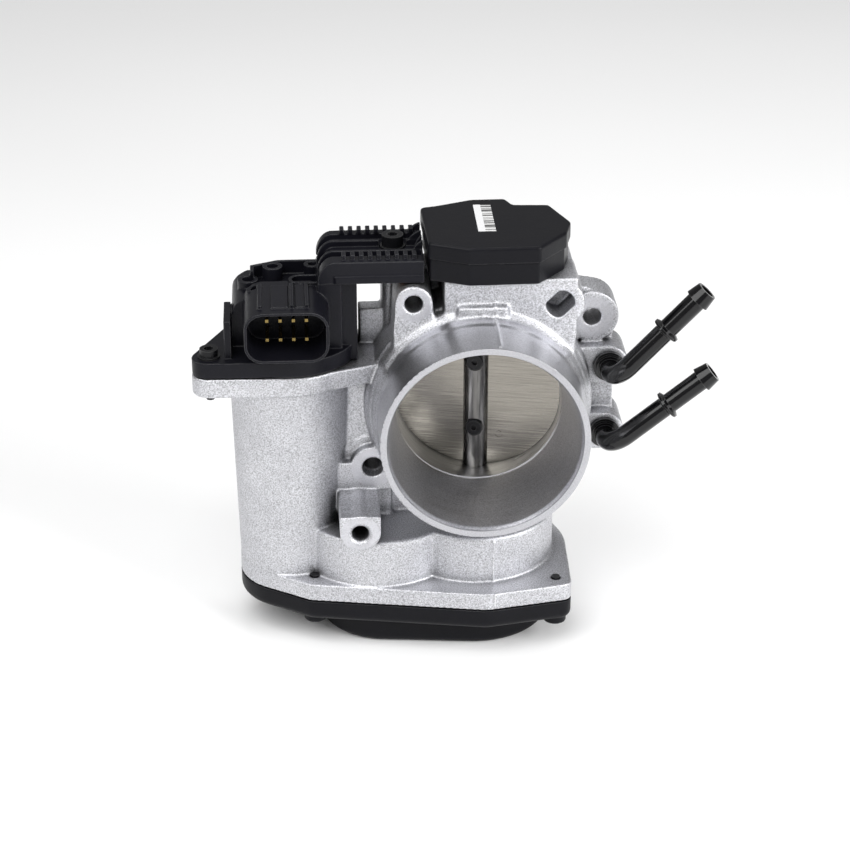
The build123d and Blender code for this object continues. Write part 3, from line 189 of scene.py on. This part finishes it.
def edge_highlight(nt, radius, lo, hi):
    """1 on convex edges and 0 on flat faces, from the bevelled normal's turn; it masks painted
    highlights along edges.
    """
    bevel = nt.nodes.new("ShaderNodeBevel")
    bevel.samples = 4
    bevel.inputs["Radius"].default_value = radius
    geometry = nt.nodes.new("ShaderNodeNewGeometry")
    normals = bevel.outputs["Normal"], geometry.outputs["Normal"]
    likeness = vector_maths(nt, "DOT_PRODUCT", "Value", *normals)
    rng = nt.nodes.new("ShaderNodeMapRange")
    for key, value in (("From Min", lo), ("From Max", hi), ("To Min", 0.0), ("To Max", 1.0)):
        rng.inputs[key].default_value = value
    nt.links.new(likeness, rng.inputs["Value"])
    return rng.outputs["Result"]


def hollow_shade(nt, distance, lo, hi, darkest):
    """Factor that falls inside holes, slots and tight corners."""
    occlusion = nt.nodes.new("ShaderNodeAmbientOcclusion")
    occlusion.samples = 6
    occlusion.inputs["Distance"].default_value = distance
    return ramp(nt, occlusion.outputs["AO"], [(lo, darkest), (hi, 1.0)])


def coordinate(nt, axes):
    """Length of the object-space position along the axes kept by the mask, such as (1, 0, 1)."""
    coords = nt.nodes.new("ShaderNodeTexCoord")
    kept = vector_maths(nt, "MULTIPLY", "Vector", coords.outputs["Object"], axes)
    return vector_maths(nt, "LENGTH", "Value", kept)


def new_material(name, metallic, roughness, coat=0.0):
    material = bpy.data.materials.new(name)
    material.use_nodes = True
    nt = material.node_tree
    shader = nt.nodes["Principled BSDF"]
    shader.inputs["Metallic"].default_value = metallic
    shader.inputs["Roughness"].default_value = roughness
    shader.inputs["Coat Weight"].default_value = coat
    shader.inputs["Specular IOR Level"].default_value = 0.16
    return material, nt, shader


def bump(nt, shader, height, distance, strength=1.0):
    """Tilts the shader's normal by a height socket."""
    node = nt.nodes.new("ShaderNodeBump")
    node.inputs["Distance"].default_value = distance
    node.inputs["Strength"].default_value = strength
    nt.links.new(height, node.inputs["Height"])
    nt.links.new(node.outputs["Normal"], shader.inputs["Normal"])


# ---- Materials ------------------------------------------------------------------------------

# Machined places of the casting: furthest radius about the bore axis, distance from joint face
THROAT_REACH, STEP_DEPTH = 0.0340, 0.0318
JOINT_REACH, JOINT_DEPTH = 0.062, 0.0003
SPIGOT_REACH, RIM_DEPTH = 0.0408, 0.0648
# Faced seats of the casting, as (x, z, radius), and how squarely they face the front
SEATS = [(-0.02565, 0.04522, 0.0071), (0.04557, 0.0293, 0.0085), (0.02965, -0.04192, 0.0085),
         (-0.04157, -0.0260, 0.0085), (-0.0475, -0.0431, 0.0078)]
SEAT_FACING = 0.97
# Distance from x = 0 at which the bars of the label start
LABEL_BARS_X = 0.0024

# Stretches of the noise that makes scratches
EVEN, UPRIGHT, LEVEL = (1.0, 1.0, 1.0), (1.0, 1.0, 0.1), (0.02, 0.02, 1.0)

# Colour, roughness, stretch, then scale and contrast of the scratches where they aren't usual
METALS = {
    "brushed_plate": ((0.33, 0.31, 0.275), 0.24, LEVEL, 3000.0, 0.6),
    "steel": ((0.19, 0.185, 0.18), 0.2, (1.0, 1.0, 0.08), 1500.0, 0.55),
    "bearing_steel": ((0.62, 0.62, 0.63), 0.18, UPRIGHT),
    "spring_steel": ((0.36, 0.36, 0.37), 0.3, EVEN),
    "zinc_steel": ((0.60, 0.61, 0.62), 0.35, EVEN),
    "brass": ((0.70, 0.53, 0.26), 0.28, UPRIGHT),
    "copper": ((0.70, 0.40, 0.25), 0.35, EVEN),
    "tin_brass": ((0.62, 0.60, 0.52), 0.35, EVEN),
    "pin_gold": ((0.26, 0.19, 0.07), 0.3, EVEN),
    "lamination": ((0.32, 0.32, 0.33), 0.4, LEVEL),
}

# Colour, roughness, then scale and height of the grain and the coat where they aren't usual
PLASTICS = {
    "black_oxide": ((0.005, 0.005, 0.006), 0.34, 2500.0, 0.00002, 0.15),
    "seal_rubber": ((0.012, 0.012, 0.013), 0.6),
    "gear_plastic": ((0.55, 0.51, 0.41), 0.45),
    "natural_plastic": ((0.10, 0.10, 0.11), 0.5),
    "cover_plastic": ((0.0034, 0.0034, 0.0050), 0.46, 1500.0, 0.00009),
    "connector_plastic": ((0.0052, 0.0052, 0.0078), 0.34, 1500.0, 0.00008),
    "sensor_plastic": ((0.0030, 0.0030, 0.0046), 0.38, 1500.0, 0.00008),
    "pipe_black": ((0.0022, 0.0022, 0.0026), 0.16, 900.0, 0.00004, 0.45),
    "ferrite": ((0.05, 0.05, 0.055), 0.6),
    "carbon": ((0.02, 0.02, 0.02), 0.7),
    "board": ((0.02, 0.14, 0.06), 0.4),
}


def faced_seats(nt):
    """1 on the forward-facing faces around the bolt holes and the accessory hole."""
    coords = nt.nodes.new("ShaderNodeTexCoord")
    flat = vector_maths(nt, "MULTIPLY", "Vector", coords.outputs["Object"], (1.0, 0.0, 1.0))
    near = 0.0
    for x, z, reach in SEATS:
        gap = vector_maths(nt, "DISTANCE", "Value", flat, (x, 0.0, z))
        near = maths(nt, "MAXIMUM", near, below(nt, gap, reach))
    forward = (0.0, -1.0, 0.0)
    facing = vector_maths(nt, "DOT_PRODUCT", "Value", coords.outputs["Normal"], forward)
    return times(nt, near, above(nt, facing, SEAT_FACING))


def cast_aluminium():
    """Blasted die-cast skin, with turned spigot, polished throat and milled joint face."""
    material, nt, shader = new_material("cast_aluminium", 1.0, 0.5)
    fine = noise(nt, 1900.0, 3.0, 0.7)
    cloud = noise(nt, 45.0, 3.0, 0.55)
    marks = noise(nt, 2500.0, 2.0, 0.6, (0.03, 1.0, 0.03))
    radius, depth = coordinate(nt, (1.0, 0.0, 1.0)), coordinate(nt, (0.0, 1.0, 0.0))
    throat = times(nt, below(nt, radius, THROAT_REACH), below(nt, depth, STEP_DEPTH))
    joint = times(nt, below(nt, radius, JOINT_REACH), below(nt, depth, JOINT_DEPTH))
    spigot = times(nt, below(nt, radius, SPIGOT_REACH), above(nt, depth, STEP_DEPTH))
    cut = maths(nt, "MAXIMUM", throat, joint)
    spigot_share = times(nt, spigot, 0.75)

    tone = vary(nt, cloud, (0.68, 0.683, 0.715), (0.79, 0.793, 0.825))
    grain = ramp(nt, fine, [(0.34, 0.40), (0.60, 1.0)])
    skin = blend_colour(nt, 1.0, tone, grain, "MULTIPLY")
    # Painted highlight: convex edges are lightened towards near white, except on the spigot
    edge_glint = edge_highlight(nt, 0.0006, 0.99, 0.92)
    edge_glint = times(nt, edge_glint, maths(nt, "SUBTRACT", 1.0, spigot_share))
    metal = blend_colour(nt, edge_glint, skin, (0.95, 0.95, 0.96))
    turned = vary(nt, marks, (0.52, 0.52, 0.55), (0.70, 0.70, 0.735))
    metal = blend_colour(nt, times(nt, spigot, 0.5), metal, turned)
    metal = blend_colour(nt, times(nt, faced_seats(nt), 0.7), metal, turned)
    metal = blend_colour(nt, cut, metal, vary(nt, marks, 0.66, 0.90))
    # Painted shade: the rim's front face is darkened towards grey
    rim = above(nt, depth, RIM_DEPTH)
    metal = blend_colour(nt, times(nt, rim, 0.45), metal, (0.34, 0.34, 0.36))
    shade = hollow_shade(nt, distance=0.007, lo=0.25, hi=0.75, darkest=0.10)
    metal = blend_colour(nt, 1.0, metal, shade, "MULTIPLY")
    nt.links.new(metal, shader.inputs["Base Color"])

    rough = ramp(nt, fine, [(0.25, 0.36), (0.75, 0.58)])
    rough = blend_colour(nt, spigot, rough, vary(nt, marks, 0.34, 0.44))
    rough = blend_colour(nt, cut, rough, vary(nt, marks, 0.27, 0.33))
    nt.links.new(rough, shader.inputs["Roughness"])
    plain = maths(nt, "MAXIMUM", cut, spigot_share)
    bump(nt, shader, times(nt, fine, maths(nt, "SUBTRACT", 1.0, plain)), 0.00014)
    return material


def machined(name, colour, roughness, stretch, scale=1500.0, contrast=0.8):
    """Turned, ground or brushed metal: fine scratches along one direction."""
    material, nt, shader = new_material(name, 1.0, roughness)
    lines = noise(nt, scale, 2.0, 0.6, stretch)
    dark = tuple(contrast * c for c in colour)
    nt.links.new(vary(nt, lines, dark, colour), shader.inputs["Base Color"])
    rough = vary(nt, lines, roughness - 0.07, roughness + 0.07)
    nt.links.new(rough, shader.inputs["Roughness"])
    bump(nt, shader, lines, 0.00002, 0.5)
    return material


def plastic(name, colour, roughness, grain=2500.0, height=0.00002, coat=0.0):
    """Moulded plastic or rubber: slight cloudiness, painted highlights on its edges and a fine
    tool grain.
    """
    material, nt, shader = new_material(name, 0.0, roughness, coat)
    fine = noise(nt, grain, 2.0, 0.5)
    cloud = noise(nt, 60.0, 3.0, 0.6)
    light = tuple(1.35 * c for c in colour)
    # Painted highlight: a paler tone laid along convex edges, patchy with the cloud noise
    pale = tuple(0.09 + 1.5 * c for c in colour)
    glint_share = times(nt, edge_highlight(nt, 0.0005, 0.985, 0.90), cloud)
    body = ramp(nt, cloud, [(0.3, colour), (0.75, light)])
    nt.links.new(blend_colour(nt, glint_share, body, pale), shader.inputs["Base Color"])
    rough = vary(nt, cloud, roughness - 0.05, roughness + 0.06)
    nt.links.new(rough, shader.inputs["Roughness"])
    bump(nt, shader, fine, height, 0.6)
    return material


def printed_label():
    """White sticker with plain grey bars across one side of it."""
    material, nt, shader = new_material("label", 0.0, 0.45)
    bars = ramp(nt, noise(nt, 900.0, 0.0, 0.5, (0.02, 1.0, 1.0)), [(0.47, 0.12), (0.53, 0.70)])
    printed = above(nt, coordinate(nt, (1.0, 0.0, 0.0)), LABEL_BARS_X)
    white = (0.70, 0.70, 0.71)
    nt.links.new(blend_colour(nt, printed, white, bars), shader.inputs["Base Color"])
    nt.links.new(vary(nt, noise(nt, 200.0), 0.4, 0.5), shader.inputs["Roughness"])
    return material


def all_materials():
    """The materials by the names of their record slots."""
    found = {"cast_aluminium": cast_aluminium(), "label": printed_label()}
    for name, look in METALS.items():
        found[name] = machined(name, *look)
    for name, look in PLASTICS.items():
        found[name] = plastic(name, *look)
    return found


def paint_nodes():
    """Gives each CAD node the material of its record slot."""
    for node, slot in slots.items():
        nodes[node].data.materials.clear()
        nodes[node].data.materials.append(materials[slot])


# ---- Floor, light and background ------------------------------------------------------------

FLOOR_HALF = 3.0


def make_stage():
    """A plain pale floor under the lowest point of the part."""
    low = cad_box[0].z
    sides = [(-1.0, -1.0), (1.0, -1.0), (1.0, 1.0), (-1.0, 1.0)]
    corners = [(x * FLOOR_HALF, y * FLOOR_HALF, low) for x, y in sides]
    mesh = bpy.data.meshes.new("floor")
    mesh.from_pydata(corners, [], [(0, 1, 2, 3)])
    floor = object_from(mesh, "floor")
    material, nt, shader = new_material("floor", 0.0, 0.8)
    nt.links.new(vary(nt, noise(nt, 3.0), 0.93, 0.95), shader.inputs["Base Color"])
    floor.data.materials.append(material)


def make_light(name, position, size, energy):
    """A rectangular lamp aimed at the part."""
    data = bpy.data.lights.new(name, "AREA")
    data.shape = "RECTANGLE"
    data.size, data.size_y = size
    data.energy = energy
    light = bpy.data.objects.new(name, data)
    light.location = position
    light.rotation_mode = "QUATERNION"
    light.rotation_quaternion = (-Vector(position)).to_track_quat("-Z", "Y")
    bpy.context.scene.collection.objects.link(light)


def make_lights():
    """Soft key, fill and back light in an even white room."""
    make_light("key", (-0.50, -0.70, 1.00), (1.1, 1.1), 15.0)
    make_light("fill", (0.95, -0.70, 0.50), (0.6, 0.6), 14.0)
    make_light("back", (0.2, 0.45, 1.2), (1.0, 0.4), 5.0)
    world = bpy.data.worlds.new("studio")
    world.use_nodes = True
    background = world.node_tree.nodes["Background"]
    background.inputs["Color"].default_value = (1.0, 1.0, 1.0, 1.0)
    background.inputs["Strength"].default_value = 0.3
    bpy.context.scene.world = world
    bpy.context.scene.view_settings.view_transform = "Standard"


# ---- Castings and mouldings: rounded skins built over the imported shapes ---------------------

# Spigot and throat of the casting: plane of the rim, radii, and the cone from step to mouth
RIM_Y = -0.0653
SPIGOT_R, BORE_R = 0.040, 0.0325
CONE_Y, CONE_LENGTH, CONE_RISE = -0.0304, 0.0349, 0.00435
# Rounded lip of the mouth: where it starts, how far it runs and how wide it opens
LIP_Y, LIP_LENGTH, LIP_RISE = -0.0627, 0.0026, 0.0010
# Room left in the skin for the throat ring, from this plane to the joint face
RECESS_Y, RECESS = -0.0312, 0.0004
# How far a relaxed vertex may lie from the circle it goes back to
SNAP = 0.0005
# Mould's parting line: where it runs, its half width and its height
PARTING_X, PARTING_SPREAD, PARTING_HEIGHT = 0.0053, 0.0006, 0.0005
# Angles at corners beyond which the shading is sharp
SKIN_CREASE, RING_CREASE = radians(38.0), radians(30.0)
# Closed section of the throat ring, as (radius, y)
THROAT = [(BORE_R, -0.0002), (BORE_R, -0.0303), (0.0329, -0.0309), (0.0334, -0.0309),
          (0.0334, -0.0002)]


def object_from(mesh, name):
    piece = bpy.data.objects.new(name, mesh)
    bpy.context.scene.collection.objects.link(piece)
    return piece


def edit_mesh(mesh, edit):
    """Opens a mesh, runs edit(build) on it and closes it again."""
    build = bmesh.new()
    build.from_mesh(mesh)
    edit(build)
    build.to_mesh(mesh)
    build.free()


def weld(build):
    bmesh.ops.remove_doubles(build, verts=build.verts, dist=1e-7)


def face_outwards(build):
    bmesh.ops.recalc_face_normals(build, faces=build.faces)


def evaluated(piece):
    """Applies the piece's modifiers to its mesh."""
    graph = bpy.context.evaluated_depsgraph_get()
    mesh = bpy.data.meshes.new_from_object(piece.evaluated_get(graph))
    piece.modifiers.clear()
    piece.data = mesh
    return mesh


def points_of(mesh):
    """The vertices as an array of rows (x, y, z)."""
    co = np.empty(len(mesh.vertices) * 3, np.float32)
    mesh.vertices.foreach_get("co", co)
    return co.reshape(-1, 3).astype(float)


def smooth_group(piece, name, weights, rounds):
    """Relaxes the vertices by the weights given, for a number of rounds."""
    group = piece.vertex_groups.new(name=name)
    levels = np.round(weights, 2)
    for level in np.unique(levels):
        if level > 0:
            group.add(np.flatnonzero(levels == level).tolist(), float(level), "REPLACE")
    relax = piece.modifiers.new(name, "SMOOTH")
    relax.factor, relax.iterations, relax.vertex_group = 0.5, rounds, name


def belongs(piece, node):
    """Fixes a new piece to the body of the CAD node it stands for, in that node's material."""
    piece.data.materials.clear()
    piece.data.materials.append(materials[slots[node]])
    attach(piece, nodes[node]["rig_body"])
    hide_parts(node)


def skin_over(node, voxel, rounds, faces, hard=None, soft=None, snap=None):
    """A closed skin over a CAD node with cast or moulded roundings in place of sharp edges.

    hard(points) gives vertices that keep their edges, soft(points) those that get large
    fillets, and snap(points, hard) puts machined faces back where they belong. The skin is
    thinned to the number of triangles given.
    """
    piece = object_from(nodes[node].data.copy(), node + "_skin")
    edit_mesh(piece.data, weld)
    grid = piece.modifiers.new("grid", "REMESH")
    grid.mode, grid.voxel_size = "VOXEL", voxel
    points = points_of(evaluated(piece))
    keep = hard(points) if hard else np.zeros(len(points))
    smooth_group(piece, "cast", 1.0 - 0.9 * keep, rounds)
    if soft:
        smooth_group(piece, "soft", soft(points) * (1.0 - keep), 5 * rounds)
    mesh = evaluated(piece)
    if snap:
        mesh.vertices.foreach_set("co", snap(points_of(mesh), keep).astype(np.float32).ravel())
        mesh.update()
    count = 2 * len(mesh.polygons)
    if count > faces:
        piece.modifiers.new("thin", "DECIMATE").ratio = faces / count
        mesh = evaluated(piece)
    mesh.shade_smooth()
    mesh.set_sharp_from_angle(angle=SKIN_CREASE)
    belongs(piece, node)


def casting_hard(p):
    """Machined places of the housing: rim, throat, joint face and cover flange."""
    r = np.hypot(p[:, 0], p[:, 2])
    throat = (p[:, 1] < -0.0635) | (r < 0.0374) & (p[:, 1] < 0.002)
    joint = (p[:, 1] > -0.0008) & (p[:, 2] > -0.050)
    flange = p[:, 2] < -0.0755
    return (throat | joint | flange).astype(float)


def casting_soft(p):
    """Top edges of the gear case and crown of the collar, which carry large fillets."""
    band = np.clip(1.0 - np.abs(p[:, 2] + 0.0510) / 0.0060, 0.0, 1.0) ** 0.5
    band *= p[:, 0] > -0.052
    r = np.hypot(p[:, 0], p[:, 2])
    crown = (r > 0.0395) & (r < 0.0470) & (np.abs(p[:, 1] + 0.0372) < 0.0038)
    return np.maximum(band, 0.8 * (crown & (p[:, 2] > 0.016)))


def casting_snap(p, keep):
    """Puts rim, spigot and throat back on their plane and circles and adds the parting line."""
    r = np.hypot(p[:, 0], p[:, 2])
    out = p.copy()
    rim = (keep > 0) & (np.abs(p[:, 1] - RIM_Y) < 0.0004)
    out[rim, 1] = RIM_Y
    outer = (p[:, 1] < -0.0630) & (np.abs(r - SPIGOT_R) < SNAP)
    out[outer, 0::2] *= (SPIGOT_R / r[outer])[:, None]
    cone = BORE_R + np.clip((CONE_Y - p[:, 1]) / CONE_LENGTH, 0.0, 1.0) * CONE_RISE
    inner = (np.abs(r - cone) < SNAP) & (p[:, 1] < 0.0008)
    cone += RECESS * (p[:, 1] > RECESS_Y)
    cone += LIP_RISE * np.clip((LIP_Y - p[:, 1]) / LIP_LENGTH, 0.0, 1.0) ** 2
    out[inner, 0::2] *= (cone[inner] / r[inner])[:, None]
    # The parting line runs over the collar and down the front of the gear case
    ridge = np.exp(-(((p[:, 0] - PARTING_X) / PARTING_SPREAD) ** 2))
    ridge *= PARTING_HEIGHT * (1.0 - keep)
    collar = (p[:, 2] > 0.036) & (p[:, 2] < 0.047) & (p[:, 1] < -0.022)
    out[collar, 2] += ridge[collar]
    case = (p[:, 2] < -0.052) & (p[:, 1] < -0.040)
    out[case, 1] -= ridge[case]
    return out


def cover_soft(p):
    """Top edge of the sensor cover."""
    return np.clip((p[:, 2] - 0.0668) / 0.0015, 0.0, 1.0)


def turned_ring(name, profile, segments):
    """Closed ring turned about the bore axis from (radius, y) profile points."""
    verts, faces = [], []
    count = len(profile)
    for i in range(segments):
        angle = radians(360.0 * i / segments)
        verts += [(r * cos(angle), y, r * sin(angle)) for r, y in profile]
        here, after = i * count, (i + 1) % segments * count
        for j in range(count):
            k = (j + 1) % count
            faces.append((here + j, here + k, after + k, after + j))
    mesh = bpy.data.meshes.new(name)
    mesh.from_pydata(verts, [], faces)
    edit_mesh(mesh, face_outwards)
    mesh.shade_smooth()
    mesh.set_sharp_from_angle(angle=RING_CREASE)
    return object_from(mesh, name)


make_camera()
materials = all_materials()
paint_nodes()
skin_over("body_casting", 0.00045, 12, 190000, casting_hard, casting_soft, casting_snap)
skin_over("connector_housing", 0.0003, 2, 120000)
skin_over("harness_bridge", 0.0003, 2, 120000)
skin_over("sensor_cover", 0.0003, 3, 60000, soft=cover_soft)
skin_over("sensor_base", 0.0003, 2, 80000)
skin_over("gear_cover", 0.00045, 3, 90000)
belongs(turned_ring("throat_ring", THROAT, 240), "body_casting")
make_stage()
make_lights()
